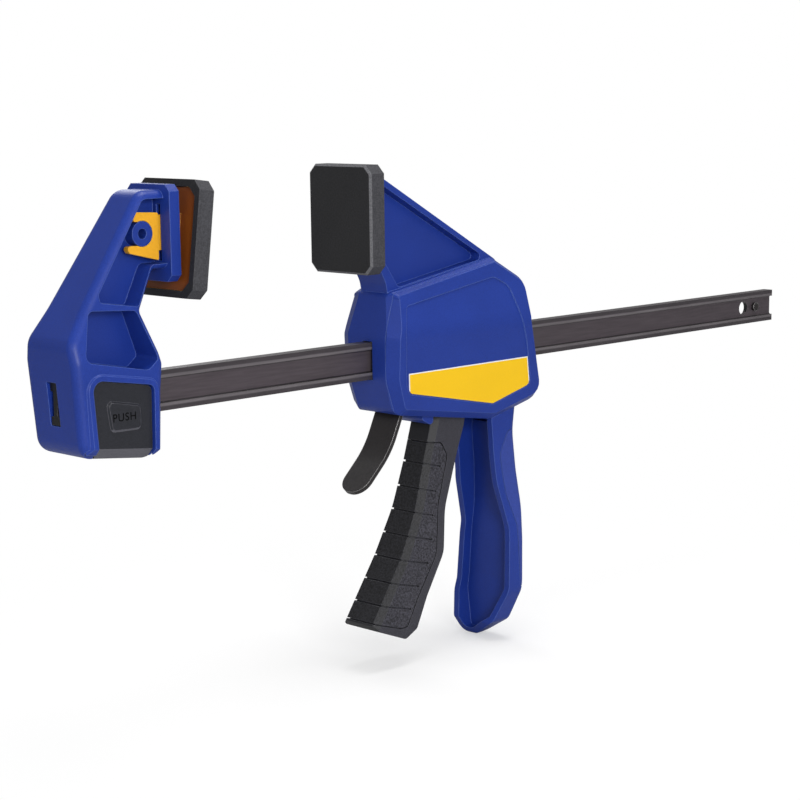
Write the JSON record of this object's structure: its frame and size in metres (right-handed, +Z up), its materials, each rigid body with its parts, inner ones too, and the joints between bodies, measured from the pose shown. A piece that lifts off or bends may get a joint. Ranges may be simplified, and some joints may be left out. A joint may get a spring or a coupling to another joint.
{
  "type": "quick release bar clamp",
  "caption": "One-handed bar clamp: a squeeze trigger steps the moving jaw along an I-section bar, a release lever frees it, swivelling padded fixed jaw.",
  "frame": {"origin": "centre of the moving jaw's clamping face", "axes": "+X along the bar to its free end, -Y the side with the cover and button, +Z up from the handle to the jaws"},
  "size_m": [0.5113, 0.042, 0.2453],
  "materials": {
    "bar_steel": "satin",
    "pin_steel": "satin",
    "blue_nylon": "fine texture, satin",
    "yellow_plastic": "satin",
    "pad_black": "matte",
    "button_black": "satin",
    "spring_steel": "satin",
    "label_yellow": "printed film",
    "trigger_black": "satin",
    "grip_black": "matte, fine grain",
    "plate_steel": "satin",
    "lever_steel": "satin",
    "blue_soft": "matte"
  },
  "bodies": {
    "housing": {"body_housing": "blue_nylon", "side_cover": "blue_nylon", "label_near": "label_yellow", "label_far": "label_yellow", "body_pad": "pad_black", "trigger_pin": "pin_steel", "handle_grip": "blue_soft", "drive_spring": "spring_steel", "brake_spring": "spring_steel"},
    "bar": {"bar": "bar_steel", "bar_stop": "pin_steel", "front_jaw": "blue_nylon", "button_spring": "spring_steel"},
    "pad": {"front_pad_carrier": "yellow_plastic", "front_pad": "pad_black"},
    "button": {"release_button": "button_black", "latch_pin": "pin_steel"},
    "trigger": {"trigger": "trigger_black", "trigger_grip": "grip_black"},
    "drive": {"drive_plate_front": "plate_steel", "drive_plate_rear": "plate_steel"},
    "brake": {"brake_lever": "lever_steel"}
  },
  "joints": [
    {"name": "bar_slide", "type": "slide", "parent": "housing", "child": "bar", "axis": [1, 0, 0], "range_m": [-0.213, 0.0905]},
    {"name": "front_pad_swivel", "type": "hinge", "parent": "bar", "child": "pad", "pos_m": [-0.1216, 0, 0.0005], "axis": [0, 1, 0], "range_deg": [-9, 0]},
    {"name": "button_press", "type": "slide", "parent": "bar", "child": "button", "axis": [0, 1, 0], "range_m": [0, 0.0028], "stiffness_N_per_m": 600, "springref_m": -0.003, "deforming": ["button_spring"]},
    {"name": "trigger_squeeze", "type": "hinge", "parent": "housing", "child": "trigger", "pos_m": [0.072, 0, -0.051], "axis": [0, -1, 0], "range_deg": [0, 20.5], "stiffness_Nm_per_rad": 0.8, "springref_deg": -17.19},
    {"name": "drive_advance", "type": "slide", "parent": "housing", "child": "drive", "axis": [1, 0, 0], "range_m": [0, 0.0061], "deforming": ["drive_spring"]},
    {"name": "release_lever", "type": "hinge", "parent": "housing", "child": "brake", "pos_m": [0.036, 0, -0.046], "axis": [0, -1, 0], "range_deg": [0, 6], "stiffness_Nm_per_rad": 0.6, "springref_deg": -14.32, "deforming": ["brake_spring"]}
  ],
  "couplings": [
    {"joint": "drive_advance", "follows": "trigger_squeeze", "m_per_rad": 0.017}
  ]
}
